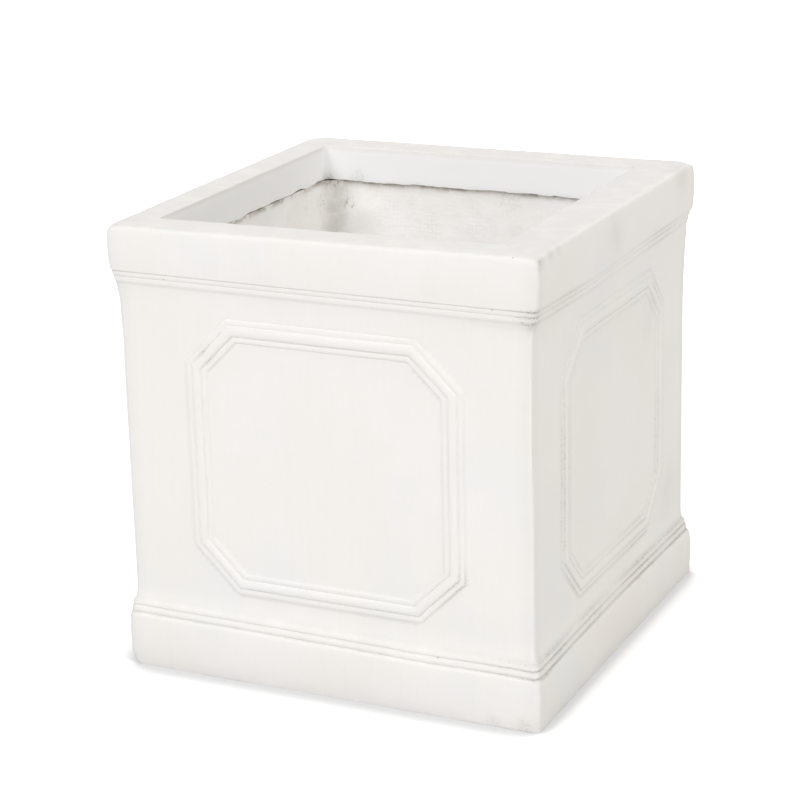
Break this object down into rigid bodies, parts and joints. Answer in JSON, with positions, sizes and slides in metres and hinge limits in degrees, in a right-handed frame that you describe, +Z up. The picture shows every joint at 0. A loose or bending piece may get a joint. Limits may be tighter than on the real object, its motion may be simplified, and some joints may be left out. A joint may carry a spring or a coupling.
{
  "type": "square planter",
  "caption": "Square cast-cement planter with a plinth, beaded rim, raised octagonal panel frames, an open soil well and a drain hole.",
  "frame": {"origin": "centre of the footprint, on the ground", "axes": "+Z up through the mouth, -Y the front wall, +X the right wall"},
  "size_m": [0.4056, 0.4056, 0.414],
  "materials": {
    "facing": "matte",
    "backing": "matte",
    "mesh_cove": "matte",
    "floor": "matte"
  },
  "bodies": {
    "root": {"backing_back": "backing", "backing_front": "backing", "backing_left": "backing", "backing_right": "backing", "cove_back_left": "mesh_cove", "cove_back_right": "mesh_cove", "cove_front_left": "mesh_cove", "cove_front_right": "mesh_cove", "facing_shell": "facing", "floor_slab": "floor"}
  },
  "joints": []
}
